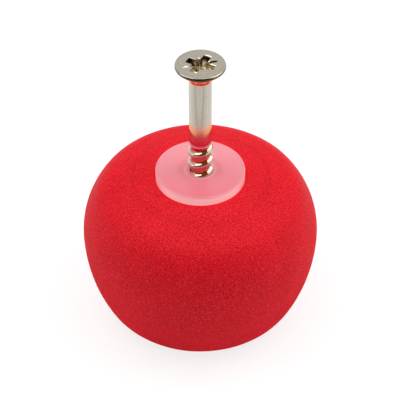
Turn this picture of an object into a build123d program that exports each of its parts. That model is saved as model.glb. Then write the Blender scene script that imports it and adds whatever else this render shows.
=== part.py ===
from build123d import *
import math
import os

# Soft furniture knob: a foam ball with a plastic insert, and the wood screw that fixes it.
# It stands on its front face, with the fixing side up. Origin at the middle of that face, +Z up.
# All lengths are in millimetres and all angles in degrees.

# Foam body
knob_diameter = 40.0
knob_height = 28.3  # from the front face to the top of the insert's flange
widest_below_flange = 13.3  # widest point, down from the top of the flange
lower_side_radius = 30.0  # side below the widest point
front_edge_radius = 5.3  # rounding between the side and the flat front face
upper_side_radius = 14.7  # side above the widest point
shoulder_radius = 5.9  # rounding between the side and the domed back
dome_radius = 49.5  # gentle dome of the back, round the flange
dome_below_flange = 0.8  # top of that dome, if it ran on to the axis, down from the flange's top

# Plastic insert
flange_diameter = 14.8
flange_thickness = 1.9
flange_edge_chamfer = 0.2
relief_diameter = 6.7  # shallow groove that keeps the plastic round the hole off the panel
relief_depth = 0.3
lip_diameter = 5.3  # ring round the hole, inside that groove
lip_below_face = 0.05
mouth_diameter = 4.6  # wide entry of the hole
mouth_depth = 0.8
stem_diameter = 8.0
stem_length = 17.0  # below the flange
barb_count = 4
barb_reach = 0.9  # how far a barb stands out from the stem
barb_slope = 1.8  # height of its sloping side
barb_land = 0.4  # height of its straight edge
barb_pitch = 3.6
fin_count = 4
fin_width = 1.2
fin_reach = 0.7
hole_depth = 15.0  # blind pilot hole, from the flange's top face
root_clearance = 0.08  # hole wall to thread root
thread_clearance = 0.05  # groove wall to thread ridge
glue_gap = 0.08  # insert to foam

# Wood screw, 4 x 30, countersunk
screw_length = 30.0
screw_stands_out = 21.2  # head's top face above the flange
head_diameter = 7.92
head_rim = 0.2
head_edge_chamfer = 0.1
head_angle = 90.0  # full angle of the countersunk cone
neck_radius = 2.5  # fillet between the cone and the shank
shank_diameter = 3.64
shank_end = 15.3  # shank's lower end below the head's top face
shank_end_chamfer = 0.2
thread_diameter = 4.18
root_diameter = 3.14
thread_pitch = 2.3
crest_width = 0.35
flank_angle = 24.0  # each flank, from square to the axis
ridge_root_depth = 0.37  # how far the ridge goes on into the root, to join it
thread_angle = 214.0  # where the ridge passes the flange's top face, seen from above
run_out = 0.9  # length over which the ridge fades at the shank
point_length = 4.0  # cone of the root, up from the tip
thread_start = 5.5  # lowest place of the full thread, up from the tip

# Cross recess, type Z, number 2
recess_angle = 60.5  # direction of one wing, seen from above
recess_depth = 2.3
wing_width = 1.02
wing_reach = 2.38  # tip radius at the head's face
wing_foot_reach = 1.25  # tip radius at the bottom
core_reach = 1.52  # corner radius of the square core at the head's face
core_foot_reach = 1.15
tick_inner = 1.4
tick_outer = 3.05
tick_width = 0.32
tick_depth = 0.15
tick_taper = 40.0

# Places that follow from the sizes
equator_height = knob_height - widest_below_flange
dome_height = knob_height - dome_below_flange
knob_radius = knob_diameter / 2
flange_radius = flange_diameter / 2
stem_radius = stem_diameter / 2
thread_radius = thread_diameter / 2
root_radius = root_diameter / 2
shank_radius = shank_diameter / 2
head_radius = head_diameter / 2
seat_height = knob_height - flange_thickness
stem_foot = seat_height - stem_length
head_top = knob_height + screw_stands_out
tip_height = head_top - screw_length
shank_foot = head_top - shank_end


def circles_meet(offset_a, height_a, radius_a, offset_b, height_b, radius_b):
    """Outer crossing point of two circles, as its distance from the axis and its height."""
    span = math.hypot(offset_b - offset_a, height_b - height_a)
    along = (radius_a**2 - radius_b**2 + span**2) / (2 * span)
    across = math.sqrt(radius_a**2 - along**2)
    run = (offset_b - offset_a) / span
    rise = (height_b - height_a) / span
    return offset_a + along * run + across * rise, height_a + along * rise - across * run


def thread_ridge(clearance):
    """The screw's helical ridge, faded at the shank and the tip, grown by the clearance."""
    crest_reach = thread_radius - root_radius + clearance
    foot_reach = -ridge_root_depth
    half_crest = crest_width / 2 + clearance
    half_foot = half_crest + (crest_reach - foot_reach) * math.tan(math.radians(flank_angle))
    turns_below = math.ceil((knob_height - tip_height) / thread_pitch) + 1
    start = knob_height - (turns_below + thread_angle / 360) * thread_pitch
    with BuildLine() as helix:
        Helix(thread_pitch, shank_foot + thread_pitch - start, root_radius, center=(0, 0, start))
    section_plane = Plane(origin=helix.line @ 0, x_dir=(1, 0, 0), z_dir=helix.line % 0)
    with BuildPart() as ridge:
        with BuildSketch(section_plane):
            with BuildLine():
                Polyline(
                    (foot_reach, half_foot),
                    (crest_reach, half_crest),
                    (crest_reach, -half_crest),
                    (foot_reach, -half_foot),
                    close=True,
                )
            make_face()
        sweep(path=helix.line, is_frenet=True)
        with BuildSketch(Plane.XZ):
            with BuildLine():
                Polyline(
                    (0, tip_height - clearance),
                    (thread_radius + clearance, tip_height + thread_start - clearance),
                    (thread_radius + clearance, shank_foot - run_out),
                    (shank_radius, shank_foot),
                    (0, shank_foot),
                    close=True,
                )
            make_face()
        revolve(axis=Axis.Z, mode=Mode.INTERSECT)
    return ridge.part


# Foam body: one profile turned round the axis, with a stepped pocket for the insert
side_centre = knob_radius - upper_side_radius
lower_centre = knob_radius - lower_side_radius
dome_centre = dome_height - dome_radius
shoulder_r, shoulder_z = circles_meet(
    0, dome_centre, dome_radius, side_centre, equator_height, upper_side_radius
)
front_r = lower_centre + math.sqrt(lower_side_radius**2 - equator_height**2)
lower_arc = math.degrees(math.asin(equator_height / lower_side_radius))
upper_arc = math.degrees(math.atan2(shoulder_z - equator_height, shoulder_r - side_centre))
dome_start = math.degrees(math.atan2(shoulder_z - dome_centre, shoulder_r))

with BuildPart() as foam_body:
    with BuildSketch(Plane.XZ) as foam_profile:
        with BuildLine():
            Line((0, 0), (front_r, 0))
            CenterArc((lower_centre, equator_height), lower_side_radius, -lower_arc, lower_arc)
            CenterArc((side_centre, equator_height), upper_side_radius, 0, upper_arc)
            CenterArc((0, dome_centre), dome_radius, dome_start, 90 - dome_start)
            Line((0, dome_height), (0, 0))
        make_face()
        fillet(foam_profile.vertices().sort_by_distance((front_r, 0, 0))[0], front_edge_radius)
        fillet(
            foam_profile.vertices().sort_by_distance((shoulder_r, shoulder_z, 0))[0],
            shoulder_radius,
        )
    revolve(axis=Axis.Z)
    with BuildSketch(Plane.XY.offset(seat_height)):
        Circle(flange_radius + glue_gap)
    extrude(amount=flange_thickness, mode=Mode.SUBTRACT)
    with BuildSketch(Plane.XY.offset(seat_height)):
        Circle(stem_radius + barb_reach + glue_gap)
    extrude(amount=-(stem_length + glue_gap), mode=Mode.SUBTRACT)
foam_body.part.label = "foam_body"

# Insert: a flange on a barbed and finned stem, with the hole that the screw has cut its thread in
with BuildPart() as screw_insert:
    with BuildSketch(Plane.XY.offset(seat_height)):
        Circle(flange_radius)
    extrude(amount=flange_thickness)
    rim_edges = screw_insert.edges().filter_by(GeomType.CIRCLE).group_by(Axis.Z)[-1]
    chamfer(rim_edges, flange_edge_chamfer)
    with BuildSketch(Plane.XY.offset(seat_height)):
        Circle(stem_radius)
    extrude(amount=-stem_length)
    with BuildSketch(Plane.XZ):
        for barb in range(barb_count):
            barb_foot = stem_foot + barb * barb_pitch
            barb_edge = barb_foot + barb_slope
            with BuildLine():
                Polyline(
                    (0, barb_foot),
                    (stem_radius, barb_foot),
                    (stem_radius + barb_reach, barb_edge),
                    (stem_radius + barb_reach, barb_edge + barb_land),
                    (0, barb_edge + barb_land),
                    close=True,
                )
            make_face()
    revolve(axis=Axis.Z)
    with BuildSketch(Plane.XY.offset(seat_height)):
        with PolarLocations((stem_radius + fin_reach) / 2, fin_count):
            Rectangle(stem_radius + fin_reach, fin_width)
    extrude(amount=barb_slope - stem_length)
    with BuildSketch(Plane.XY.offset(knob_height)):
        Circle(relief_diameter / 2)
        Circle(lip_diameter / 2, mode=Mode.SUBTRACT)
    extrude(amount=-relief_depth, mode=Mode.SUBTRACT)
    with BuildSketch(Plane.XY.offset(knob_height)):
        Circle(lip_diameter / 2)
    extrude(amount=-lip_below_face, mode=Mode.SUBTRACT)
    with Locations((0, 0, knob_height)):
        CounterBoreHole(
            radius=root_radius + root_clearance,
            counter_bore_radius=mouth_diameter / 2,
            counter_bore_depth=mouth_depth,
            depth=hole_depth,
        )
    add(thread_ridge(thread_clearance), mode=Mode.SUBTRACT)
screw_insert.part.label = "screw_insert"

# Recess tool: four wings on a cone, a square core between them and a light tick beyond each corner
with BuildPart() as cross_recess:
    with BuildSketch(Plane.XY.offset(head_top)):
        with PolarLocations(0, 2, start_angle=recess_angle, angular_range=180):
            Rectangle(2 * wing_reach, wing_width)
    extrude(amount=-recess_depth)
    with BuildSketch(Plane.XZ):
        with BuildLine():
            Polyline(
                (0, head_top - recess_depth),
                (wing_foot_reach, head_top - recess_depth),
                (wing_reach, head_top),
                (0, head_top),
                close=True,
            )
        make_face()
    revolve(axis=Axis.Z, mode=Mode.INTERSECT)
    with BuildSketch(Plane.XY.offset(head_top)):
        RegularPolygon(core_reach, 4, rotation=recess_angle + 45)
    with BuildSketch(Plane.XY.offset(head_top - recess_depth)):
        RegularPolygon(core_foot_reach, 4, rotation=recess_angle + 45)
    loft()
    tick_middle = (tick_inner + tick_outer) / 2
    tick_half = (tick_outer - tick_inner) / 2
    with BuildSketch(Plane.XY.offset(head_top)):
        with PolarLocations(tick_middle, 4, start_angle=recess_angle + 45):
            with BuildLine():
                Polyline(
                    (tick_half, 0),
                    (0, tick_width / 2),
                    (-tick_half, 0),
                    (0, -tick_width / 2),
                    close=True,
                )
            make_face()
    extrude(amount=-tick_depth, taper=tick_taper)

# Screw: a turned blank with its recess, and the ridge of the coarse thread
cone_foot = head_top - head_rim - (head_radius - shank_radius) / math.tan(math.radians(head_angle / 2))
with BuildPart() as wood_screw:
    with BuildSketch(Plane.XZ) as blank_profile:
        with BuildLine():
            Polyline(
                (0, tip_height),
                (root_radius, tip_height + point_length),
                (root_radius, shank_foot),
                (shank_radius, shank_foot),
                (shank_radius, cone_foot),
                (head_radius, head_top - head_rim),
                (head_radius, head_top),
                (0, head_top),
                close=True,
            )
        make_face()
        corners = blank_profile.vertices()
        fillet(corners.sort_by_distance((shank_radius, cone_foot, 0))[0], neck_radius)
        corners = blank_profile.vertices()
        chamfer(corners.sort_by_distance((shank_radius, shank_foot, 0))[0], shank_end_chamfer)
        corners = blank_profile.vertices()
        chamfer(corners.sort_by_distance((head_radius, head_top, 0))[0], head_edge_chamfer)
    revolve(axis=Axis.Z)
    add(thread_ridge(0))
    add(cross_recess.part, mode=Mode.SUBTRACT)
wood_screw.part.label = "wood_screw"

os.makedirs("parts", exist_ok=True)
export_step(foam_body.part, "parts/foam_body.step")
export_step(screw_insert.part, "parts/screw_insert.step")
export_step(wood_screw.part, "parts/wood_screw.step")
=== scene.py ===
import math
import bpy
import numpy as np
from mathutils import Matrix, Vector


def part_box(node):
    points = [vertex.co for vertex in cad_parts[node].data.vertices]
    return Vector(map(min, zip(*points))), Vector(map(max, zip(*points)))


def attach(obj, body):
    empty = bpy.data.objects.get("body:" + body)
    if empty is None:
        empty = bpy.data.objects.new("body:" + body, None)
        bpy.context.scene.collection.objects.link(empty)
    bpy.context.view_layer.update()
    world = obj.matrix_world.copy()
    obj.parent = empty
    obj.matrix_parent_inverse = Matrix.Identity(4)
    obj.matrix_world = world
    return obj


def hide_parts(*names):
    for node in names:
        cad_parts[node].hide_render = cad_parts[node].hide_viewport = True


# Soft foam furniture knob with a plastic insert and its countersunk wood screw, standing on its front face.
# Shapes are worked out in millimetres and turned to metres when the mesh is made.
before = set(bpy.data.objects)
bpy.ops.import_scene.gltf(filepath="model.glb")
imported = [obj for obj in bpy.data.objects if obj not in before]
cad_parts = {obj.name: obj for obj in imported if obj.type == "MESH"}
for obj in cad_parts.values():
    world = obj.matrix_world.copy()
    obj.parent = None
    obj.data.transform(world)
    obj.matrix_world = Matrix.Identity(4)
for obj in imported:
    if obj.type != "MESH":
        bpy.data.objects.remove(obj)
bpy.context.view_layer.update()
print("frame loaded:", ", ".join(sorted(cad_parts)))

metresPerMm = 0.001


def boxMm(node):  # lowest and highest corner of a node of the frame, in mm
    low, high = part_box(node)
    return np.array(low) / metresPerMm, np.array(high) / metresPerMm


foamHigh = boxMm("foam_body")[1]
insertLow, insertHigh = boxMm("screw_insert")
screwLow, screwHigh = boxMm("wood_screw")


# Surfaces as grids of two parameters

def arcPoints(centre, radius, startAngle, endAngle, count):
    # points on a circle round centre, from one angle to the other in degrees, both ends kept
    turn = np.radians(np.linspace(startAngle, endAngle, count))
    return np.column_stack((centre[0] + radius * np.cos(turn), centre[1] + radius * np.sin(turn)))


def linePoints(start, end, count):
    # points on a straight line with even steps, without its first point
    share = np.linspace(0, 1, count + 1)[1:, None]
    return np.array(start) * (1 - share) + np.array(end) * share


def circlesMeet(centreA, radiusA, centreB, radiusB):
    # outer crossing of two circles: along the line of centres by the cosine rule, then square to it
    gap = np.subtract(centreB, centreA)
    span = np.hypot(*gap)
    along = (radiusA**2 - radiusB**2 + span**2) / (2 * span)
    across = math.sqrt(radiusA**2 - along**2)
    run, rise = gap / span
    return np.array((centreA[0] + along * run + across * rise, centreA[1] + along * rise - across * run))


def polarRows(radii, heights, angles):
    # rings of points round the axis: a radius times cosine and sine of the angle, and the height
    return np.stack(np.broadcast_arrays(radii * np.cos(angles), radii * np.sin(angles), heights), axis=-1)


def turnedRows(profile, angles):
    # each profile point (radius, height) is carried round the axis through the angles
    profile = np.asarray(profile)
    return polarRows(profile[:, :1], profile[:, 1:], angles)


def smoothMax(a, b, width):
    # the larger of two values, with the corner between them rounded over the width
    lift = np.maximum(width - np.abs(a - b), 0) / width
    return np.maximum(a, b) + lift**2 * width / 4


def addObject(name, data):  # a new object of the scene that holds this data
    added = bpy.data.objects.new(name, data)
    bpy.context.scene.collection.objects.link(added)
    return added


def gridPiece(name, rows, lowPole, highPole):
    # closed skin: rings of equal length joined by quads, and a fan of triangles to the pole at each end
    ringCount, columnCount = rows.shape[:2]
    ring = np.arange(ringCount - 1)[:, None] * columnCount
    column = np.arange(columnCount)
    following = (column + 1) % columnCount
    corners = (ring + column, ring + following, ring + columnCount + following, ring + columnCount + column)
    quads = np.stack(corners, axis=-1).reshape(-1, 4)
    lowIndex, highIndex = ringCount * columnCount, ringCount * columnCount + 1
    last = (ringCount - 1) * columnCount
    lowFan = np.column_stack((np.full(columnCount, lowIndex), following, column))
    highFan = np.column_stack((np.full(columnCount, highIndex), last + column, last + following))
    points = np.concatenate((rows.reshape(-1, 3), [lowPole], [highPole])) * metresPerMm
    mesh = bpy.data.meshes.new(name)
    mesh.vertices.add(len(points))
    mesh.vertices.foreach_set("co", points.astype(np.float32).ravel())
    loops = np.concatenate((quads.ravel(), lowFan.ravel(), highFan.ravel()))
    sides = np.concatenate((np.full(len(quads), 4), np.full(2 * columnCount, 3)))
    starts = np.concatenate(([0], np.cumsum(sides)[:-1]))
    mesh.loops.add(len(loops))
    mesh.loops.foreach_set("vertex_index", loops.astype(np.int32))
    mesh.polygons.add(len(sides))
    mesh.polygons.foreach_set("loop_start", starts.astype(np.int32))
    mesh.update(calc_edges=True)
    mesh.validate()
    mesh.shade_smooth()
    return addObject(name, mesh)


def placePiece(piece, node, material, creaseAngle):
    # sharp edges by angle, finish, body, and the node that the piece stands for
    piece.data.set_sharp_from_angle(angle=math.radians(creaseAngle))
    piece.data.materials.append(material)
    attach(piece, "root")
    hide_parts(node)
    print("piece", piece.name, "with", len(piece.data.polygons), "faces")


# Materials

def hexColour(code):  # sRGB hex to linear red, green, blue and alpha
    srgb = np.array([int(code[i:i + 2], 16) for i in (0, 2, 4)]) / 255
    linear = np.where(srgb <= 0.04045, srgb / 12.92, ((srgb + 0.055) / 1.055) ** 2.4)
    return (*linear, 1.0)


def perMetre(sizeMm):  # scale of a pattern whose grain has this size
    return 1 / (sizeMm * metresPerMm)


def newTree(name):  # a material and its node tree, emptied
    material = bpy.data.materials.new(name)
    material.use_nodes = True
    material.node_tree.nodes.clear()
    return material, material.node_tree


def addNode(tree, kind, settings=None, links=None):
    # one node: its settings and socket values by name, where a colour is a hex code and a ramp's stops are pairs
    # of a position and a colour or level, then what feeds it: an output, or a node that gives its first output
    node = tree.nodes.new("ShaderNode" + kind)
    sockets = {}
    for socket in node.inputs:
        sockets.setdefault(socket.name, socket)
        sockets[socket.identifier] = socket
    for name, value in (settings or {}).items():
        if name == "stops":
            ramp = node.color_ramp.elements
            for i, (position, tone) in enumerate((value[0], value[-1], *value[1:-1])):
                stop = ramp[i] if i < 2 else ramp.new(position)
                stop.position = position
                stop.color = hexColour(tone) if isinstance(tone, str) else (*np.broadcast_to(tone, 3), 1.0)
        elif name in sockets:
            sockets[name].default_value = hexColour(value) if isinstance(value, str) else value
        else:
            setattr(node, name, value)
    for name, source in (links or {}).items():
        tree.links.new(source.outputs[0] if hasattr(source, "outputs") else source, sockets[name])
    return node


def spanMm(low, high):  # ends of a range between two lengths in mm
    return {"From Min": low * metresPerMm, "From Max": high * metresPerMm}


def axisDistance(tree, place):
    # distance from the knob's axis: the length of the place with its height left out
    flat = addNode(tree, "VectorMath", {"operation": "MULTIPLY", "Vector_001": (1.0, 1.0, 0.0)}, {"Vector": place})
    return addNode(tree, "VectorMath", {"operation": "LENGTH"}, {"Vector": flat}).outputs["Value"]


foam = {
    "body": "E71624",  # red of the foam itself
    "pale": "F33848",  # thin skin over a bubble, which scatters more
    "deep": "C20A13",  # between the bubbles
    # painted highlight: pale glints that stand for light grazing the bumps, mostly low on the ball
    "glint": "EF3F58",
    "sheen": "FF7A9A",
    "cellSize": 0.22,  # bubbles under the skin, drawn about twice the real size so that they show
    "glintSize": 0.32,
    "glintShare": 0.7,
    "glintHeights": (19.0, 25.0),  # the painted glints thin out between these heights
    "patchSize": 5.0,
    "pitSpacing": 4.5,
    "pitShade": -0.35,
    "reliefHeight": 0.026,
    "ringRadius": 11.4,  # faint darker ring round the dome: painted shade
    "ringWidth": 0.8,
    "ringShade": -0.07,
    "roughness": 0.55,
}


def mouldedFoam():
    # soft polyurethane foam, moulded in one shot: a matt pored skin, mottled by the bubbles under it, with painted
    # highlights as pale glints that thin out towards the dome, a few pits darkened with painted shade, and a faint
    # darker ring of painted shade round the dome
    material, tree = newTree("red_integral_foam_moulded")
    place = addNode(tree, "TexCoord").outputs["Object"]
    cells = addNode(
        tree, "TexNoise", {"Scale": perMetre(foam["cellSize"]), "Detail": 2.0, "Roughness": 0.55}, {"Vector": place}
    )
    patches = addNode(tree, "TexNoise", {"Scale": perMetre(foam["patchSize"]), "Detail": 2.0}, {"Vector": place})
    glintNoise = addNode(tree, "TexNoise", {"Scale": perMetre(foam["glintSize"]), "Detail": 1.0}, {"Vector": place})
    pits = addNode(tree, "TexVoronoi", {"Scale": perMetre(foam["pitSpacing"])}, {"Vector": place})
    inPit = addNode(
        tree, "MapRange", {"From Min": 0.02, "From Max": 0.05, "To Min": 1.0, "To Max": 0.0}, {"Value": pits}
    )
    tone = addNode(
        tree, "ValToRGB", {"stops": [(0.28, foam["deep"]), (0.5, foam["body"]), (0.78, foam["pale"])]}, {"Fac": cells}
    )
    patchShade = addNode(
        tree, "MapRange", {"From Min": 0.3, "From Max": 0.7, "To Min": 0.96, "To Max": 1.04}, {"Value": patches}
    )
    # the pits are also darkened: painted shade
    pitShade = addNode(
        tree, "Math", {"operation": "MULTIPLY_ADD", "Value_001": foam["pitShade"]},
        {"Value": inPit, "Value_002": patchShade},
    )
    # painted shade: a faint darker ring round the dome
    outsideRing = addNode(
        tree, "Math", {"operation": "SUBTRACT", "Value_001": foam["ringRadius"] * metresPerMm},
        {"Value": axisDistance(tree, place)},
    )
    fromRing = addNode(tree, "Math", {"operation": "ABSOLUTE"}, {"Value": outsideRing})
    ring = addNode(
        tree, "MapRange", spanMm(0, foam["ringWidth"]) | {"To Min": foam["ringShade"], "To Max": 0.0},
        {"Value": fromRing},
    )
    shade = addNode(tree, "Math", {"operation": "ADD"}, {"Value": pitShade, "Value_001": ring})
    # painted highlights: pale glints mixed into the colour, fewer towards the dome
    glintMask = addNode(
        tree, "MapRange", {"From Min": 0.6, "From Max": 0.68, "To Max": foam["glintShare"]}, {"Value": glintNoise}
    )
    height = addNode(tree, "SeparateXYZ", None, {"Vector": place}).outputs["Z"]
    lower = addNode(
        tree, "MapRange", spanMm(*foam["glintHeights"]) | {"To Min": 1.0, "To Max": 0.15}, {"Value": height}
    )
    glinting = addNode(tree, "Math", {"operation": "MULTIPLY"}, {"Value": glintMask, "Value_001": lower})
    colour = addNode(tree, "MixRGB", {"Color2": foam["glint"]}, {"Fac": glinting, "Color1": tone})
    shaded = addNode(tree, "HueSaturation", None, {"Color": colour, "Value": shade})
    relief = addNode(tree, "Math", {"operation": "SUBTRACT"}, {"Value": cells, "Value_001": inPit})
    bump = addNode(tree, "Bump", {"Distance": foam["reliefHeight"] * metresPerMm}, {"Height": relief})
    skin = addNode(
        tree, "BsdfPrincipled",
        {
            "Roughness": foam["roughness"], "IOR": 1.45, "Specular IOR Level": 0.1,
            "Sheen Weight": 0.01, "Sheen Roughness": 0.25, "Sheen Tint": foam["sheen"],
        },
        {"Base Color": shaded, "Normal": bump},
    )
    addNode(tree, "OutputMaterial", None, {"Surface": skin})
    return material


plastic = {
    "front": "F58290",  # painted shade: darker and redder in front, on the side away from the light
    "middle": "FF97A2",
    "back": "F69CA4",
    # painted highlight: the lip paler than the face; painted shade: the relief groove round it a little darker
    "lip": "FFA3AA",
    "relief": "FC8F9A",
    "edge": "F8969F",
    # painted light and shade: the hole's wall crimson and glowing, for the red foam seen through it
    "hole": "E63C5C",
    "wall": "B89090",
    "wallLight": "FFB6B9",  # painted light: glow for the light that the milky plastic carries to its edge, most in front
    "sideLight": "E98B93",
    "wallGlow": 0.64,
    "holeGlow": 0.2,  # painted light: red glow for the foam that shines through the hole's wall
    # radii between which one tone gives way to the next
    "holeEdge": (2.2, 2.28),
    "lipEdge": (2.75, 2.9),
    "reliefEdge": (3.05, 3.95),
    "faceEdge": (6.9, 7.2),
    "wallEdge": (7.1, 7.34),
    "lipDepths": (0.16, 0.09),  # the same as depths under the flange's top
    "wallDepths": (0.2, 0.04),
    "halfSpan": 6.0,  # the tone changes over this far in front of the axis and behind it
    "carriedShares": (0.08, 0.25),  # parts of that way over which the carried light fades
    "roughness": 0.12,
    "waveSize": 1.6,
    "waveHeight": 0.003,
}


def naturalPolypropylene(faceHeight):
    # uncoloured polypropylene, injection moulded: glossy and milky, and the red foam shines through it; the tone
    # changes from front to back, darker in front as painted shade, and with the distance from the axis: in the hole,
    # paler on the lip as a painted highlight, darker in the relief groove as painted shade, and at the edge; the
    # flange's side and the hole glow by emission, painted light for the light that the plastic carries
    material, tree = newTree("natural_polypropylene_moulded")
    place = addNode(tree, "TexCoord").outputs["Object"]
    axes = addNode(tree, "SeparateXYZ", None, {"Vector": place})
    height, fromAxis = axes.outputs["Z"], axisDistance(tree, place)
    waves = addNode(tree, "TexNoise", {"Scale": perMetre(plastic["waveSize"]), "Detail": 1.0}, {"Vector": place})
    bump = addNode(tree, "Bump", {"Distance": plastic["waveHeight"] * metresPerMm}, {"Height": waves})
    offHole, offLip, offRelief, nearEdge, offFace = (
        addNode(tree, "MapRange", spanMm(*plastic[name]), {"Value": fromAxis})
        for name in ("holeEdge", "lipEdge", "reliefEdge", "faceEdge", "wallEdge")
    )
    onLip, onTop = (
        addNode(tree, "MapRange", spanMm(*(faceHeight - depth for depth in plastic[name])), {"Value": height})
        for name in ("lipDepths", "wallDepths")
    )
    below = addNode(tree, "Math", {"operation": "SUBTRACT", "Value": 1.0}, {"Value_001": onTop})
    outOfHole = addNode(tree, "Math", {"operation": "MAXIMUM"}, {"Value": onLip, "Value_001": offHole})
    onWall = addNode(tree, "Math", {"operation": "MULTIPLY"}, {"Value": below, "Value_001": offFace})

    # painted shade: the face's tone darkens towards the front, away from the light
    backward = addNode(
        tree, "MapRange", spanMm(-plastic["halfSpan"], plastic["halfSpan"]), {"Value": axes.outputs["Y"]}
    )
    shadedFaceStops = [(0.0, plastic["front"]), (0.5, plastic["middle"]), (1.0, plastic["back"])]
    face = addNode(tree, "ValToRGB", {"stops": shadedFaceStops}, {"Fac": backward})
    # painted highlight on the lip and painted shade in the relief groove
    fromHole = addNode(tree, "MixRGB", {"Color1": plastic["hole"], "Color2": plastic["lip"]}, {"Fac": outOfHole})
    fromLip = addNode(tree, "MixRGB", {"Color2": plastic["relief"]}, {"Fac": offLip, "Color1": fromHole})
    fromRelief = addNode(tree, "MixRGB", None, {"Fac": offRelief, "Color1": fromLip, "Color2": face})
    paleEdge = addNode(tree, "MixRGB", {"Color2": plastic["edge"]}, {"Fac": nearEdge, "Color1": fromRelief})
    tone = addNode(tree, "MixRGB", {"Color2": plastic["wall"]}, {"Fac": onWall, "Color1": paleEdge})

    # painted light: the flange's side and the hole glow by emission, though they are no lamp
    carriedStops = list(zip(plastic["carriedShares"], (plastic["wallLight"], plastic["sideLight"])))
    carried = addNode(tree, "ValToRGB", {"stops": carriedStops}, {"Fac": backward})
    light = addNode(tree, "MixRGB", {"Color1": plastic["hole"]}, {"Fac": outOfHole, "Color2": carried})
    holeGlow = addNode(tree, "MapRange", {"To Min": plastic["holeGlow"], "To Max": 0.0}, {"Value": outOfHole})
    glow = addNode(
        tree, "Math", {"operation": "MULTIPLY_ADD", "Value_001": plastic["wallGlow"]},
        {"Value": onWall, "Value_002": holeGlow},
    )
    body = addNode(
        tree, "BsdfPrincipled", {"Roughness": plastic["roughness"], "IOR": 1.49},
        {"Base Color": tone, "Normal": bump, "Emission Color": light, "Emission Strength": glow},
    )
    addNode(tree, "OutputMaterial", None, {"Surface": body})
    return material


nickel = {
    "tone": "D0CABD",
    "tarnish": "C1BAA9",
    "grainSize": 0.2,
    "grainHeight": 0.0003,
    "satin": 0.08,
    "rolled": 0.06,  # the rolled thread is the smoothest part
    "head": 0.2,
    "punched": 0.07,  # added to the roughness in the recess
    "satinFrom": 0.2,  # the shank is satin from this height above the thread
    "headDepths": (1.2, 0.05),  # and gives way to the head's finish between these depths below its top
    "softEdge": 0.1,  # usual width over which one tone gives way to the next
    "rampDrop": 0.4,  # the bands are worked out from this much below the thread's top
    # each band starts and ends softly, between two depths below the head's top, or two heights above the thread
    "shadeUnderHead": "6C6146",  # painted shade on the cone under the head's edge
    "shadeUnderHeadDepths": (1.6, 1.2, 0.2, 0.05),
    "shadeFrom": 3.3,  # only outside this radius
    "cone": "FCF8F4",  # painted light: a brighter plate on the head's cone, so that it mirrors lighter
    "coneDepths": (2.95, 2.85, 0.9, 0.8),
    "coneFrom": 4.2,  # on the cone, radius and depth below the top add up to more than this
    "neck": "F08468",  # painted reflection: orange of the red foam where the cone meets the shank
    "neckEdges": (1.95, 2.15),  # radii between which the neck's tone gives way to the cone's
    # painted light: the recess's walls paler than the rest of the plate
    "recess": "E6DDCA",
    "recessDepths": (2.49, 2.4, 0.3, 0.1),
    "wingShade": "2E2418",  # painted shade at the far ends of the wings
    "wingShadeFrom": (2.03, 2.2),  # radii over which it starts
    "shadeBehind": (0.3, 0.6),  # and distances behind the axis
    "shankFoot": "E9E6F2",  # painted light: a brighter plate just above the thread
    "footHeights": (0.0, 0.1, 1.9, 2.7),
    # painted reflection of the pink flange, in a band on the shank's foot
    "flangeReflection": "DC8098",
    "lineHeights": (0.24, 0.34, 0.78, 0.95),
    "root": "D0706C",  # painted reflection: crimson of the foam and flange in the thread's root
    "flank": "DDA262",
    "rootRadius": 1.64,
    "flankRadius": 1.68,
    "flankShare": 0.2,  # part of the way out to the crest that keeps the flank's tone
    "crestRadius": 1.82,
}


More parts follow.
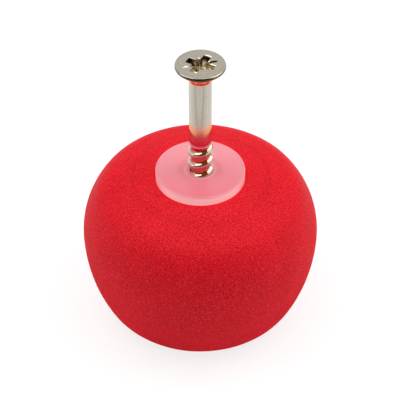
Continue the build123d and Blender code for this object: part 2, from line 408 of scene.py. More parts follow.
def nickelPlate(threadTop, headTop):
    # nickel plate on rolled steel: a warm grey metal, bright on the rolled thread and satin on shank and head;
    # its tone changes in bands by height and with the radius in the thread, with painted reflections in the thread's
    # root, on the shank's foot and at the neck, painted light on the cone and in the recess, and painted shade under
    # the head's edge and at the far ends of the wings
    material, tree = newTree("nickel_plate_on_rolled_steel")
    place = addNode(tree, "TexCoord").outputs["Object"]
    axes = addNode(tree, "SeparateXYZ", None, {"Vector": place})
    height, fromAxis = axes.outputs["Z"], axisDistance(tree, place)
    grain = addNode(
        tree, "TexNoise", {"Scale": perMetre(nickel["grainSize"]), "Detail": 3.0, "Roughness": 0.6}, {"Vector": place}
    )
    tone = addNode(tree, "ValToRGB", {"stops": [(0.3, nickel["tarnish"]), (0.65, nickel["tone"])]}, {"Fac": grain})
    rampFoot, soft = threadTop - nickel["rampDrop"], nickel["softEdge"]
    climb = addNode(tree, "MapRange", spanMm(rampFoot, headTop), {"Value": height})

    def at(level):  # place of a height on the ramps that follow the climb
        return (level - rampFoot) / (headTop - rampFoot)

    def band(heights):  # stops of a band that starts and ends softly
        return {"stops": [(at(level), strength) for level, strength in zip(heights, (0, 1, 1, 0))]}

    shadeUnderHead, coneBand, recessBand = (
        addNode(tree, "ValToRGB", band([headTop - depth for depth in nickel[name]]), {"Fac": climb})
        for name in ("shadeUnderHeadDepths", "coneDepths", "recessDepths")
    )
    # painted shade: a dark tone on the cone under the head's edge
    outside = addNode(tree, "MapRange", spanMm(nickel["shadeFrom"], nickel["shadeFrom"] + soft), {"Value": fromAxis})
    shadedUnder = addNode(tree, "Math", {"operation": "MULTIPLY"}, {"Value": shadeUnderHead, "Value_001": outside})
    headTone = addNode(tree, "MixRGB", {"Color2": nickel["shadeUnderHead"]}, {"Fac": shadedUnder, "Color1": tone})

    # painted light in the recess, and painted shade at the far ends of the wings behind the axis
    inside = addNode(tree, "Math", {"operation": "SUBTRACT", "Value": 1.0}, {"Value_001": outside})
    inRecess = addNode(tree, "Math", {"operation": "MULTIPLY"}, {"Value": recessBand, "Value_001": inside})
    atEnd = addNode(tree, "MapRange", spanMm(*nickel["wingShadeFrom"]), {"Value": fromAxis})
    shadeBehind = addNode(tree, "MapRange", spanMm(*nickel["shadeBehind"]), {"Value": axes.outputs["Y"]})
    shadedEnd = addNode(tree, "Math", {"operation": "MULTIPLY"}, {"Value": atEnd, "Value_001": shadeBehind})
    wingColour = addNode(tree, "MixRGB", {"Color1": nickel["recess"], "Color2": nickel["wingShade"]}, {"Fac": shadedEnd})
    recessTone = addNode(tree, "MixRGB", None, {"Fac": inRecess, "Color1": headTone, "Color2": wingColour})

    # painted light on the head's cone, and a painted reflection of the red foam at its neck
    slant = addNode(tree, "Math", {"operation": "SUBTRACT"}, {"Value": fromAxis, "Value_001": height})
    slantFrom = nickel["coneFrom"] - headTop
    slanted = addNode(tree, "MapRange", spanMm(slantFrom, slantFrom + soft), {"Value": slant})
    onCone = addNode(tree, "Math", {"operation": "MULTIPLY"}, {"Value": coneBand, "Value_001": slanted})
    offNeck = addNode(tree, "MapRange", spanMm(*nickel["neckEdges"]), {"Value": fromAxis})
    coneColour = addNode(tree, "MixRGB", {"Color1": nickel["neck"], "Color2": nickel["cone"]}, {"Fac": offNeck})
    coneTone = addNode(tree, "MixRGB", None, {"Fac": onCone, "Color1": recessTone, "Color2": coneColour})

    # painted light and a painted reflection of the pink flange on the shank's foot
    footBand = addNode(tree, "ValToRGB", band([threadTop + up for up in nickel["footHeights"]]), {"Fac": climb})
    footNames = ("shankFoot", "flangeReflection", "flangeReflection", "shankFoot")
    footStops = [(at(threadTop + up), nickel[name]) for up, name in zip(nickel["lineHeights"], footNames)]
    footColour = addNode(tree, "ValToRGB", {"stops": footStops}, {"Fac": climb})
    footTone = addNode(tree, "MixRGB", None, {"Fac": footBand, "Color1": coneTone, "Color2": footColour})

    # painted reflection: the thread's root crimson, as it mirrors the foam and flange
    outward = addNode(tree, "MapRange", spanMm(nickel["rootRadius"], nickel["crestRadius"]), {"Value": fromAxis})
    atFlank = (nickel["flankRadius"] - nickel["rootRadius"]) / (nickel["crestRadius"] - nickel["rootRadius"])
    threadStops = [
        (0.0, nickel["root"]), (atFlank, nickel["flank"]),
        (atFlank + nickel["flankShare"], nickel["flank"]), (1.0, nickel["tone"]),
    ]
    threadTone = addNode(tree, "ValToRGB", {"stops": threadStops}, {"Fac": outward})
    belowShank = addNode(
        tree, "MapRange", spanMm(threadTop - soft, threadTop) | {"To Min": 1.0, "To Max": 0.0}, {"Value": height}
    )
    plateTone = addNode(tree, "MixRGB", None, {"Fac": belowShank, "Color1": footTone, "Color2": threadTone})

    satinEnd, headStart = (at(headTop - depth) for depth in nickel["headDepths"])
    finishStops = [
        (0.0, nickel["rolled"]), (at(threadTop + nickel["satinFrom"]), nickel["satin"]),
        (satinEnd, nickel["satin"]), (headStart, nickel["head"]),
    ]
    finish = addNode(tree, "ValToRGB", {"stops": finishStops}, {"Fac": climb})
    wear = addNode(
        tree, "MapRange", {"From Min": 0.3, "From Max": 0.7, "To Min": -0.015, "To Max": 0.02}, {"Value": grain}
    )
    punched = addNode(
        tree, "Math", {"operation": "MULTIPLY_ADD", "Value_001": nickel["punched"]},
        {"Value": inRecess, "Value_002": wear},
    )
    roughness = addNode(tree, "Math", {"operation": "ADD"}, {"Value": finish, "Value_001": punched})
    bump = addNode(tree, "Bump", {"Distance": nickel["grainHeight"] * metresPerMm}, {"Height": grain})
    plate = addNode(
        tree, "BsdfPrincipled", {"Metallic": 1.0}, {"Base Color": plateTone, "Roughness": roughness, "Normal": bump}
    )
    addNode(tree, "OutputMaterial", None, {"Surface": plate})
    return material


# Foam ball

ball = {
    "widestBelowFlange": 13.3,
    "lowerSideRadius": 30.0,
    "frontEdgeRadius": 5.3,
    "upperSideRadius": 14.7,
    "shoulderRadius": 5.9,
    "domeRadius": 49.5,
    "domeBelowFlange": 0.6,
    "seatRadius": 7.48,
    "seatLipRadius": 0.3,
    "seatBelowFlange": 1.9,
    "seatDrop": 0.03,  # foam lies this much under the flange
    "pocketRadius": 4.98,
    "pocketGap": 0.08,  # between the pocket's floor and the stem
    "columns": 400,
    "unevenness": 0.04,
    "waveLengths": (9.0, 5.0, 3.2, 2.1, 1.4, 1.1),
    "wavesEach": 5,
    "waveHeights": (0.0, 2.0),  # the waves grow to their full height between these heights
    "waveGaps": (0.4, 1.2),  # and between these distances from the seat
    "seed": 11,
}


def softWaves(points, waveLengths, wavesEach, seed):
    # sum of plane sine waves in drawn directions, each as tall as it is long, scaled to run from 0 to 1
    draw = np.random.default_rng(seed)
    height = np.zeros(points.shape[:-1])
    for length in waveLengths:
        for _ in range(wavesEach):
            direction = draw.normal(size=3)
            direction *= 2 * math.pi / (length * np.linalg.norm(direction))
            height += length * np.sin(points @ direction + draw.uniform(0, 2 * math.pi))
    return (height - height.min()) / (height.max() - height.min())


def ballProfile():
    # flat front face, rounded edge, two side arcs, shoulder, dome, then the seat and pocket of the insert
    flangeTop, pocketFloor = insertHigh[2], insertLow[2] - ball["pocketGap"]
    equator = flangeTop - ball["widestBelowFlange"]
    lowerCentre = (foamHigh[0] - ball["lowerSideRadius"], equator)
    upperCentre = (foamHigh[0] - ball["upperSideRadius"], equator)
    domeCentre = (0.0, flangeTop - ball["domeBelowFlange"] - ball["domeRadius"])
    edge, shoulder = ball["frontEdgeRadius"], ball["shoulderRadius"]
    edgeReach = math.sqrt((ball["lowerSideRadius"] - edge) ** 2 - (equator - edge) ** 2)
    edgeCentre = (lowerCentre[0] + edgeReach, edge)
    shoulderCentre = circlesMeet(
        domeCentre, ball["domeRadius"] - shoulder, upperCentre, ball["upperSideRadius"] - shoulder
    )
    edgeTurn = math.degrees(math.atan2(edge - equator, edgeReach))
    upperTurn = math.degrees(math.atan2(*(shoulderCentre - upperCentre)[::-1]))
    domeTurn = math.degrees(math.atan2(*(shoulderCentre - domeCentre)[::-1]))
    lip = ball["seatLipRadius"]
    lipX = ball["seatRadius"] + lip
    lipCentre = (lipX, domeCentre[1] + math.sqrt((ball["domeRadius"] - lip) ** 2 - lipX**2))
    lipTurn = math.degrees(math.atan2(lipCentre[1] - domeCentre[1], lipX))
    seatFloor = flangeTop - ball["seatBelowFlange"] - ball["seatDrop"]
    return np.concatenate((
        linePoints((0, 0), (edgeCentre[0], 0), 24),
        arcPoints(edgeCentre, edge, -90, edgeTurn, 22)[1:],
        arcPoints(lowerCentre, ball["lowerSideRadius"], edgeTurn, 0, 38)[1:],
        arcPoints(upperCentre, ball["upperSideRadius"], 0, upperTurn, 28)[1:],
        arcPoints(shoulderCentre, shoulder, upperTurn, domeTurn, 16)[1:],
        arcPoints(domeCentre, ball["domeRadius"], domeTurn, lipTurn, 26)[1:],
        arcPoints(lipCentre, lip, lipTurn, 180, 8)[1:],
        linePoints((ball["seatRadius"], lipCentre[1]), (ball["seatRadius"], seatFloor), 3),
        linePoints((ball["seatRadius"], seatFloor), (ball["pocketRadius"], seatFloor), 3),
        linePoints((ball["pocketRadius"], seatFloor), (ball["pocketRadius"], pocketFloor), 10),
        linePoints((ball["pocketRadius"], pocketFloor), (0, pocketFloor), 3)[:-1],
    ))


def makeFoamBall():
    # the turned profile, pressed in along its normals by soft waves; the flat face and the pocket stay true
    profile = ballProfile()
    angles = np.linspace(0, 2 * math.pi, ball["columns"], endpoint=False)
    rows = turnedRows(profile, angles)
    slope = np.gradient(profile, axis=0)
    slope /= np.linalg.norm(slope, axis=1)[:, None]
    outward = turnedRows(np.column_stack((slope[:, 1], -slope[:, 0])), angles)
    free = np.interp(profile[:, 1], ball["waveHeights"], (0, 1))
    free *= np.interp(profile[:, 0] - ball["seatRadius"], ball["waveGaps"], (0, 1))
    waves = softWaves(rows, ball["waveLengths"], ball["wavesEach"], ball["seed"])
    rows = rows - outward * (ball["unevenness"] * waves * free[:, None])[..., None]
    return gridPiece("foam_ball", rows, (0, 0, 0), (0, 0, profile[-1][1]))


foamBall = makeFoamBall()
placePiece(foamBall, "foam_body", mouldedFoam(), 40)


# Wood screw

screw = {
    "shankRadius": 1.82,
    "rootRadius": 1.57,
    "threadRadius": 2.09,
    "pitch": 2.3,
    "crestWidth": 0.46,
    "crestRounding": 0.1,
    "rootRounding": 0.09,
    "flankAngle": 30.0,
    "threadAngle": 300.0,
    "pointLength": 4.0,
    "threadStart": 5.5,
    "shankEnd": 15.6,
    "runOut": 1.1,
    "headRim": 0.45,
    "rimRadius": 0.24,
    "rimFootRadius": 0.1,
    "neckRadius": 0.65,
    "coneAngle": 44.2,  # between the head's cone and the axis
    "footStep": ((-0.14, 0.02), (-0.05, 0.07), (0.0, 0.2)),  # outwards and up, from the thread to the shank
    "tipGap": 0.05,
    "hiddenDepth": 0.6,  # from here down in the insert the rows of the thread are further apart
    "hiddenStep": 0.12,
    "shownStep": 0.065,
}
shankFoot = screwHigh[2] - screw["shankEnd"]

recess = {
    "angle": 62.0,
    "depth": 2.3,
    "wingWidth": 1.3,
    "wingReach": 2.4,
    "wingFootReach": 1.75,
    "coreReach": 1.7,
    "coreFootReach": 1.25,
    "rolledEdge": 0.03,
    "bevelWidth": 0.12,
    "bevelDepth": 0.06,
    "leanAngle": 38.0,  # direction in which the punch leans, with the widest bevel
    "faceDrop": 0.045,  # the raised tick stands this much above the face
    "punchMarks": 0.025,  # height of the upright marks that the punch leaves on the walls
    "marksDepth": 0.3,  # they reach that height this far down
    "marksPerWing": 4,
    "floorRings": ((0.7, 0.08), (0.35, 0.16)),  # shares of the floor's outline, and how much lower they lie
    "floorDip": 0.2,
    "faceRings": 20,  # rings of the grid on the face, the bevel, the rolled edge and the walls
    "bevelRings": 4,
    "edgeRings": 5,
    "wallRings": 7,
    "tipColumns": 12,
    "flankColumns": 10,
    "coreColumns": 20,
    # inner end, outer end, width, depth and shift aside of each tick, counterclockwise from the right one
    "ticks": (
        (1.25, 3.0, 0.54, 0.28, 0.0),
        (1.3, 2.7, 0.3, 0.1, 0.0),
        (1.75, 3.05, 0.54, 0.058, 0.12),
        (1.75, 2.4, 0.45, -0.045, 0.0),
    ),
    "tickWidest": 0.3,  # part of the tick's length at which it is widest
    "tickFullness": 2.0,
    "tickFade": 0.4,  # depth in the recess at which a tick no longer shows
}


def recessOutline(depth, grow):
    # one ring of the cross recess at a depth, grown outwards: each quarter is half a core edge, a flank,
    # the wing's tip as an arc, the other flank and half a core edge, always with the same columns
    share = depth / recess["depth"]
    half = recess["wingWidth"] / 2 + grow
    reach = recess["wingReach"] + (recess["wingFootReach"] - recess["wingReach"]) * share + grow
    corner = recess["coreReach"] + (recess["coreFootReach"] - recess["coreReach"]) * share
    side = corner / math.sqrt(2) + grow
    tip = math.asin(half / reach)
    turn = np.linspace(-tip, tip, recess["tipColumns"] + 1)
    arc = np.column_stack((reach * np.cos(turn), reach * np.sin(turn)))
    flank = linePoints((reach * math.cos(tip), half), (side, half), recess["flankColumns"])
    edge = linePoints((side, half), (side, side), recess["coreColumns"])
    upper = np.concatenate((flank, edge))
    lower = (upper * (1, -1))[::-1]
    quarter = np.concatenate((lower, arc, upper[:-1]))
    marks = recess["punchMarks"] * np.sin(np.linspace(0, 2 * math.pi * recess["marksPerWing"], len(quarter)))
    quarter = quarter * (1 - marks * min(depth / recess["marksDepth"], 1) / recess["coreReach"])[:, None]
    rings = []
    for wing in range(4):
        turn = math.radians(recess["angle"] + 90 * wing)
        rings.append(quarter @ np.array(((math.cos(turn), math.sin(turn)), (-math.sin(turn), math.cos(turn)))))
    return np.concatenate(rings)


def threadRadiusAt(height, angle):
    # distance from the axis: the core's cylinder and point, with the helical ridge standing on it;
    # the ridge falls off its crest at the flank angle and is trimmed by cones at the tip and at the shank
    rise = screw["pitch"] * (angle / (2 * math.pi) - screw["threadAngle"] / 360)
    offset = (height - insertHigh[2] - rise) / screw["pitch"]
    away = np.abs(offset - np.round(offset)) * screw["pitch"]
    flank = (away - screw["crestWidth"] / 2) / math.tan(math.radians(screw["flankAngle"]))
    ridge = screw["threadRadius"] - smoothMax(flank, 0 * flank, screw["crestRounding"])
    aboveTip = height - screwLow[2]
    pointTrim = screw["threadRadius"] * aboveTip / screw["threadStart"]
    fade = (height - shankFoot + screw["runOut"]) / screw["runOut"]
    shankTrim = screw["threadRadius"] - (screw["threadRadius"] - screw["shankRadius"]) * np.clip(fade, 0, 1)
    ridge = np.minimum(ridge, np.minimum(pointTrim, shankTrim))
    core = screw["rootRadius"] * np.clip(aboveTip / screw["pointLength"], 0, 1)
    return smoothMax(core + 0 * ridge, ridge, screw["rootRounding"])


def tickSink(points):
    # depth of the four light ticks: a V section that runs out to a point at both ends; the last one is raised
    sink = np.zeros(points.shape[:-1])
    for tick, (inner, outer, width, depth, shift) in enumerate(recess["ticks"]):
        turn = math.radians(recess["angle"] - 45 + 90 * tick)
        along = points[..., 0] * math.cos(turn) + points[..., 1] * math.sin(turn)
        across = points[..., 1] * math.cos(turn) - points[..., 0] * math.sin(turn)
        share = (along - inner) / (outer - inner)
        taper = np.minimum(share / recess["tickWidest"], (1 - share) / (1 - recess["tickWidest"]))
        taper = np.clip(recess["tickFullness"] * taper, 0, 1)
        sink += depth * np.clip(taper - np.abs(across - shift) / (width / 2), 0, 1)
    return sink


def makeWoodScrew():
    # one closed grid from the tip up the thread and the shank, over the head and down into the recess
    top = screwHigh[2] - recess["faceDrop"]
    columnCount = 4 * (recess["tipColumns"] + 2 * recess["flankColumns"] + 2 * recess["coreColumns"])
    start = math.radians(recess["angle"] - 45)
    angles = start + np.linspace(0, 2 * math.pi, columnCount, endpoint=False)

    hidden = np.arange(screwLow[2] + screw["tipGap"], insertHigh[2] - screw["hiddenDepth"], screw["hiddenStep"])
    shown = np.arange(hidden[-1] + screw["shownStep"], shankFoot, screw["shownStep"])
    heights = np.concatenate((hidden, shown))[:, None]
    threadRows = polarRows(threadRadiusAt(heights, angles), heights, angles)

    shank, headRadius = screw["shankRadius"], screwHigh[0]
    coneAngle = screw["coneAngle"]
    halfTurn = math.tan(math.radians(coneAngle / 2))
    coneCorner = top - screw["headRim"] - (headRadius - shank) / math.tan(math.radians(coneAngle))
    neck, rim = screw["neckRadius"], screw["rimRadius"]
    neckCentre = (shank + neck, coneCorner - neck * halfTurn)
    foot = screw["rimFootRadius"]
    neckArc = arcPoints(neckCentre, neck, 180, 180 - coneAngle, 16)
    rimArc = np.concatenate((
        arcPoints((headRadius - foot, top - screw["headRim"] + foot * halfTurn), foot, -coneAngle, 0, 5),
        arcPoints((headRadius - rim, top - rim), rim, 0, 90, 14),
    ))
    step = [(shank + outwards, shankFoot + up) for outwards, up in screw["footStep"]]
    blank = np.concatenate((
        step,
        linePoints(step[-1], neckArc[0], 14),
        neckArc[1:],
        linePoints(neckArc[-1], rimArc[0], 5),
        rimArc[1:],
    ))
    blankRows = turnedRows(blank, angles)

    rolled = recess["rolledEdge"]
    faceStart = blankRows[-1][:, :2]
    faceEnd = recessOutline(0, rolled)
    lean = 2 * np.cos((angles - math.radians(recess["leanAngle"])) / 2) ** 4
    bevelStart = faceEnd + (recessOutline(0, rolled + recess["bevelWidth"]) - faceEnd) * lean[:, None]
    share, climb = (np.linspace(0, 1, recess[name] + 1)[1:, None, None] for name in ("faceRings", "bevelRings"))
    face = np.concatenate((
        faceStart * (1 - share) + bevelStart * share,
        bevelStart * (1 - climb) + faceEnd * climb,
    ))
    bevelDrop = recess["bevelDepth"] * lean
    sunk = np.concatenate((np.zeros((len(share), columnCount)), bevelDrop * climb[..., 0]))
    faceRows = np.concatenate((face, (top - sunk - tickSink(face))[..., None]), axis=-1)

    wallRows = []
    for turn in np.radians(np.linspace(0, 90, recess["edgeRings"] + 1)[1:]):
        depth = rolled * (1 - math.cos(turn))
        wallRows.append((recessOutline(depth, rolled * (1 - math.sin(turn))), depth))
    for depth in np.linspace(rolled, recess["depth"], recess["wallRings"] + 1)[1:]:
        wallRows.append((recessOutline(depth, 0), depth))
    floor = recessOutline(recess["depth"], 0)
    wallRows += [(floor * ringShare, recess["depth"] + dip) for ringShare, dip in recess["floorRings"]]
    tickCut = tickSink(faceEnd) + bevelDrop
    wall = []
    for outline, depth in wallRows:
        fade = max(1 - depth / recess["tickFade"], 0)
        wall.append(np.column_stack((outline, top - depth - tickCut * fade)))
    rows = np.concatenate((threadRows, blankRows, faceRows, np.array(wall)))
    lowest = top - recess["depth"] - recess["floorDip"]
    return gridPiece("countersunk_screw", rows, (0, 0, screwLow[2]), (0, 0, lowest))


placePiece(makeWoodScrew(), "wood_screw", nickelPlate(shankFoot, screwHigh[2]), 38)


# Plastic insert

insert = {
    "flangeThickness": 1.9,
    "rimRadius": 0.25,
    "underRadius": 0.1,
    "reliefRadius": 3.6,
    "reliefDepth": 0.05,
    "lipRadius": 2.65,
    "lipEdge": 0.06,
    "lipDrop": 0.05,
    "mouthRadius": 1.74,
    "mouthDepth": 0.2,
    "stemRadius": 4.0,
    "footChamfer": 0.15,
    "barbCount": 4,
    "barbReach": 0.9,
    "barbSlope": 1.8,
    "barbLand": 0.4,
    "barbPitch": 3.6,
    "finWidth": 1.2,
    "finReach": 0.7,
    "holeDepth": 15.0,
    "rootClearance": 0.08,
    "threadClearance": 0.05,
    "finColumns": 10,
    "flankColumns": 2,
    "plainColumns": 46,
    "boreStep": 0.14,
    "ringGap": 0.01,  # keeps apart two rings that would lie at the same height
    "reliefGap": 0.02,  # between the relief's end and the lip
    "floorRing": 0.6,  # share of the bore at which a ring lies on the hole's floor
}


def insertAngles():
    # columns round the stem: even on a fin's edge, close together on its two sides, even between the fins
    tip = math.asin(insert["finWidth"] / 2 / (insert["stemRadius"] + insert["finReach"]))
    foot = math.asin(insert["finWidth"] / 2 / insert["stemRadius"])
    stops = (-tip, tip, foot, math.pi / 2 - foot, math.pi / 2 - tip)
    counts = (insert["finColumns"], insert["flankColumns"], insert["plainColumns"], insert["flankColumns"])
    quarter = [np.linspace(stops[i], stops[i + 1], counts[i], endpoint=False) for i in range(4)]
    return np.concatenate([np.concatenate(quarter) + turn * math.pi / 2 for turn in range(4)])


def stemRows(angles, seat):
    # from the foot up: barbs turned round the stem, with four upright fins that join them
    foot, radius, chamfer = insertLow[2], insert["stemRadius"], insert["footChamfer"]
    barb = radius + insert["barbReach"]
    profile = [(radius / 2, foot), (radius - chamfer, foot), (radius, foot + chamfer)]
    for i in range(insert["barbCount"]):
        low = foot + i * insert["barbPitch"]
        edge = low + insert["barbSlope"]
        if i:
            profile.append((radius, low))
        land = edge + insert["barbLand"]
        profile += [(barb, edge), (barb, land), (radius, land + insert["ringGap"])]
    profile = np.array(profile + [(radius, seat)])
    radii, heights = profile[:, :1], profile[:, 1:]
    fin, tiny = radius + insert["finReach"], 1e-6
    aside = np.abs((angles + math.pi / 4) % (math.pi / 2) - math.pi / 4)
    inFin = aside <= math.asin(insert["finWidth"] / 2 / fin) + tiny
    fromBarb = heights >= foot + insert["barbSlope"] - tiny
    return polarRows(np.maximum(radii, np.where(inFin & fromBarb, fin, 0)), heights, angles)


def makeInsert():
    # from the stem's foot up to the flange, over its face and lip, and down the threaded hole
    top, flange = insertHigh[2], insertHigh[0]
    seat = top - insert["flangeThickness"]
    angles = insertAngles()
    rim, under, lip, edge = insert["rimRadius"], insert["underRadius"], insert["lipRadius"], insert["lipEdge"]
    lipTop = top - insert["lipDrop"]
    reliefShare = np.linspace(0, 1, 9)
    reliefSink = insert["reliefDepth"] * np.sin(reliefShare * math.pi / 2) ** 2
    reliefX = insert["reliefRadius"] + (lip + insert["reliefGap"] - insert["reliefRadius"]) * reliefShare
    mouth = insert["mouthRadius"]
    mouthFloor = top - insert["mouthDepth"]
    face = np.concatenate((
        linePoints((insert["stemRadius"], seat), (flange - under, seat), 6),
        arcPoints((flange - under, seat + under), under, -90, 0, 5)[1:],
        linePoints((flange, seat + under), (flange, top - rim), 6),
        arcPoints((flange - rim, top - rim), rim, 0, 90, 9)[1:],
        linePoints((flange - rim, top), (insert["reliefRadius"], top), 12),
        np.column_stack((reliefX, top - reliefSink))[1:],
        arcPoints((lip - edge, lipTop - edge), edge, 0, 90, 5),
        arcPoints((mouth + edge, lipTop - edge), edge, 90, 180, 5),
        linePoints((mouth, lipTop - edge), (mouth, mouthFloor), 6),
    ))
    bore = screw["rootRadius"] + insert["rootClearance"]
    holeFloor = top - insert["holeDepth"]
    heights = np.arange(mouthFloor - insert["ringGap"], holeFloor, -insert["boreStep"])[:, None]
    groove = threadRadiusAt(heights, angles) + insert["threadClearance"]
    boreRows = polarRows(np.maximum(groove, bore), heights, angles)
    floorRow = turnedRows([(bore * insert["floorRing"], holeFloor)], angles)
    cut = threadRadiusAt(face[:, 1:], angles) + insert["threadClearance"]
    radii = np.maximum(face[:, :1], np.where(face[:, :1] < lip, cut, 0))
    faceRows = polarRows(radii, face[:, 1:], angles)
    rows = np.concatenate((stemRows(angles, seat), faceRows, boreRows, floorRow))
    return gridPiece("screw_insert_flanged", rows, (0, 0, insertLow[2]), (0, 0, holeFloor))


placePiece(makeInsert(), "screw_insert", naturalPolypropylene(insertHigh[2]), 40)


# Studio

studio = {
    "floorSize": 6.0,  # in metres
    "floorTone": "F8F6F4",
    "floorDrop": 0.02,  # the floor lies this much under the knob, in mm
    "floorGlow": 1.12,
    "glowShare": 0.72,
    "mirrorGlow": 1.6,
    # in mirrors the floor goes from dark to pale with the distance along this direction, in mm
    "aheadTo": (0.156, 0.988, 0.0),
    "aheadSpan": (-80.0, -10.0),
    "aheadStops": (
        (0.0, (0.04, 0.03, 0.02)), (0.17, 0.07), (0.25, 0.5), (0.36, 0.54), (0.49, (0.41, 0.39, 0.36)), (0.65, 0.53),
        (0.87, 0.55), (1.0, 0.6),
    ),
    # and within this distance of the axis it has rings of the red and orange light that the foam throws
    "thrownEdge": (48.1, 48.6),
    "thrownMiddle": -3.5,  # how far behind the axis the rings' own middle lies
    "thrownSpan": 100.0,
    "thrownStops": (
        (0.29, "CC3F56"), (0.31, "E6A482"), (0.355, "E6A482"), (0.395, "CC3F56"), (0.437, "CC3F56"), (0.446, "FA9C6C"),
        (1.0, "FFFFFF"),
    ),
    "worldStops": ((0.1, "FFFFFF"), (0.6, "DADADA")),  # by the direction's climb, from the horizon up
    # the unlit room in front, which only mirrors show: low grey walls, a dark side behind the camera, the ceiling
    "unlitStops": ((0.34, "8A8272"), (0.46, "120E0A"), (0.78, "120E0A"), (0.92, "8A4C18")),
    "unlitEdge": (0.3, 0.58),
    "climbShare": 0.62,  # how much a direction's climb counts towards the front, against its turn
    "lightEdge": (-0.2, 0.7),
    "worldLight": 0.34,
    "frontLight": 0.0,
    "cameraPlace": (-0.05, -148.86, 157.94),
    "cameraPitch": 42.55,
    "cameraLens": 108.0,
    "cameraSensor": 36.0,
}

lamps = {  # directions, with distances and sizes in metres and powers in watts
    "wide": {"from": (0.0, 0.03, 0.99), "distance": 0.6, "size": (0.7, 0.7), "power": 2.36, "mirrored": False},
    "leftAbove": {"from": (-0.40, 0.05, 0.90), "distance": 0.55, "size": (0.28, 0.28), "power": 0.5},
    "rightAbove": {"from": (0.62, 0.10, 0.78), "distance": 0.55, "size": (0.30, 0.42), "power": 0.8},
    "left": {"from": (-0.92, -0.15, 0.36), "distance": 0.6, "size": (0.30, 0.40), "power": 0.6},
    "back": {"from": (0.09, 0.49, 0.86), "distance": 0.55, "size": (0.1, 0.1), "power": 0.07},
    "rightLow": {"from": (0.88, -0.38, 0.28), "distance": 0.6, "size": (0.24, 0.36), "power": 0.5},
}


def rayKinds(tree, kinds):
    # 1 for a ray of any of these kinds, otherwise 0: the largest of the Light Path outputs
    ray = addNode(tree, "LightPath")
    chosen = ray.outputs["Is " + kinds[0] + " Ray"]
    for kind in kinds[1:]:
        other = ray.outputs["Is " + kind + " Ray"]
        chosen = addNode(tree, "Math", {"operation": "MAXIMUM"}, {"Value": chosen, "Value_001": other}).outputs["Value"]
    return chosen


def makeFloor():
    # a plain pale sheet under the knob: the camera sees mostly its own white, with a faint shadow; in mirrors it
    # fades towards the unlit side of the room, in front of the knob, and has rings of red and orange near the
    # knob, which stand for the light that the foam throws on it
    side, drop = studio["floorSize"] / 2, -studio["floorDrop"] * metresPerMm
    mesh = bpy.data.meshes.new("studio_floor")
    corners = [(-side, -side, drop), (side, -side, drop), (side, side, drop), (-side, side, drop)]
    mesh.from_pydata(corners, [], [(0, 1, 2, 3)])
    floor = addObject("studio_floor", mesh)
    material, tree = newTree("studio_floor_paper")
    inMirror = rayKinds(tree, ("Glossy",))
    seen = addNode(
        tree, "Math", {"operation": "MULTIPLY", "Value_001": studio["glowShare"]},
        {"Value": rayKinds(tree, ("Camera", "Transmission"))},
    )
    share = addNode(tree, "Math", {"operation": "MAXIMUM"}, {"Value": seen, "Value_001": inMirror})
    paper = addNode(tree, "BsdfDiffuse", {"Color": studio["floorTone"]})
    place = addNode(tree, "TexCoord").outputs["Object"]
    ahead = addNode(
        tree, "VectorMath", {"operation": "DOT_PRODUCT", "Vector_001": studio["aheadTo"]}, {"Vector": place}
    )
    forward = addNode(tree, "MapRange", spanMm(*studio["aheadSpan"]), {"Value": ahead.outputs["Value"]})
    fall = addNode(tree, "ValToRGB", {"stops": studio["aheadStops"]}, {"Fac": forward})
    away = addNode(tree, "VectorMath", {"operation": "LENGTH"}, {"Vector": place})
    beyond = addNode(tree, "MapRange", spanMm(*studio["thrownEdge"]), {"Value": away.outputs["Value"]})
    moved = addNode(
        tree, "VectorMath", {"operation": "ADD", "Vector_001": (0.0, -studio["thrownMiddle"] * metresPerMm, 0.0)},
        {"Vector": place},
    )
    fromMiddle = addNode(tree, "VectorMath", {"operation": "LENGTH"}, {"Vector": moved})
    ringPlace = addNode(tree, "MapRange", spanMm(0, studio["thrownSpan"]), {"Value": fromMiddle.outputs["Value"]})
    thrown = addNode(tree, "ValToRGB", {"stops": studio["thrownStops"]}, {"Fac": ringPlace})
    mirrored = addNode(tree, "MixRGB", None, {"Fac": beyond, "Color1": thrown, "Color2": fall})
    colour = addNode(tree, "MixRGB", {"Color1": "FFFFFF"}, {"Fac": inMirror, "Color2": mirrored})
    strength = addNode(
        tree, "MapRange", {"To Min": studio["floorGlow"], "To Max": studio["mirrorGlow"]}, {"Value": inMirror}
    )
    glow = addNode(tree, "Emission", None, {"Color": colour, "Strength": strength})
    above = addNode(tree, "MixShader", None, {"Fac": share, "Shader": paper, "Shader_001": glow})
    fromBelow = addNode(tree, "NewGeometry").outputs["Backfacing"]
    clear = addNode(tree, "BsdfTransparent")
    sheet = addNode(tree, "MixShader", None, {"Fac": fromBelow, "Shader": above, "Shader_001": clear})
    addNode(tree, "OutputMaterial", None, {"Surface": sheet})
    mesh.materials.append(material)


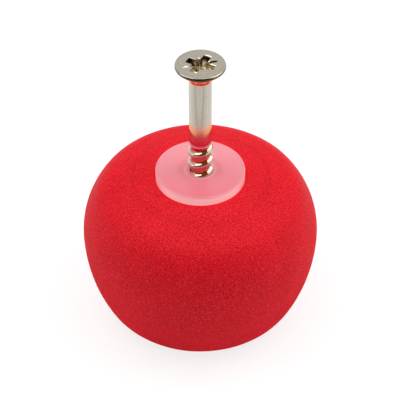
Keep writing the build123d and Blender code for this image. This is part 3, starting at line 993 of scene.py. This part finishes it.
def makeWorld():
    # pale all round: white at the horizon, a little greyer overhead, and dimmer as a light than as a background;
    # mirrors also see the unlit side of the room, in front of the knob and straight above it
    world = bpy.data.worlds.new("studio_light")
    world.use_nodes = True
    tree = world.node_tree
    tree.nodes.clear()
    direction = addNode(tree, "SeparateXYZ", None, {"Vector": addNode(tree, "TexCoord").outputs["Generated"]})
    climb = direction.outputs["Z"]
    paleTone = addNode(tree, "ValToRGB", {"stops": studio["worldStops"]}, {"Fac": climb})
    unlitTone = addNode(tree, "ValToRGB", {"stops": studio["unlitStops"]}, {"Fac": climb})
    turned = addNode(tree, "Math", {"operation": "MULTIPLY", "Value_001": -1.0}, {"Value": direction.outputs["Y"]})
    forward = addNode(
        tree, "Math", {"operation": "MULTIPLY_ADD", "Value_001": studio["climbShare"]},
        {"Value": climb, "Value_002": turned},
    )
    (unlitFrom, unlitTo), (lightFrom, lightTo) = studio["unlitEdge"], studio["lightEdge"]
    front = addNode(
        tree, "MapRange", {"From Min": unlitFrom, "From Max": unlitTo, "interpolation_type": "SMOOTHSTEP"},
        {"Value": forward},
    )
    dim = addNode(
        tree, "Math", {"operation": "MULTIPLY"}, {"Value": front, "Value_001": rayKinds(tree, ("Glossy",))}
    )
    pale = addNode(tree, "Background", None, {"Color": paleTone})
    unlit = addNode(tree, "Background", None, {"Color": unlitTone})
    seen = addNode(tree, "MixShader", None, {"Fac": dim, "Shader": pale, "Shader_001": unlit})
    strength = addNode(
        tree, "MapRange",
        {"From Min": lightFrom, "From Max": lightTo, "To Min": studio["worldLight"], "To Max": studio["frontLight"]},
        {"Value": forward},
    )
    light = addNode(tree, "Background", {"Color": "FFFFFF"}, {"Strength": strength})
    shown = rayKinds(tree, ("Camera", "Glossy", "Transmission"))
    both = addNode(tree, "MixShader", None, {"Fac": shown, "Shader": light, "Shader_001": seen})
    addNode(tree, "OutputWorld", None, {"Surface": both})
    bpy.context.scene.world = world


def makeLamps():
    # softboxes that face the middle of the knob from the given directions
    for name, lamp in lamps.items():
        data = bpy.data.lights.new(name, "AREA")
        data.shape = "RECTANGLE"
        data.size, data.size_y = lamp["size"]
        data.energy = lamp["power"]
        place = np.array(lamp["from"]) / np.linalg.norm(lamp["from"]) * lamp["distance"]
        lampObject = addObject(name, data)
        lampObject.location = place
        lampObject.rotation_mode = "QUATERNION"
        lampObject.rotation_quaternion = Vector(place).to_track_quat("Z", "Y")
        lampObject.visible_glossy = lamp.get("mirrored", True)


def makeCamera():
    # looks down at the knob from in front, at the photo's angle and distance
    data = bpy.data.cameras.new("camera")
    data.lens = studio["cameraLens"]
    data.sensor_width = studio["cameraSensor"]
    camera = addObject("camera", data)
    camera.location = np.array(studio["cameraPlace"]) * metresPerMm
    camera.rotation_euler = (math.radians(90 - studio["cameraPitch"]), 0, 0)
    bpy.context.scene.camera = camera


makeFloor()
makeWorld()
makeLamps()
makeCamera()
bpy.context.scene.view_settings.view_transform = "Standard"
print("studio ready")
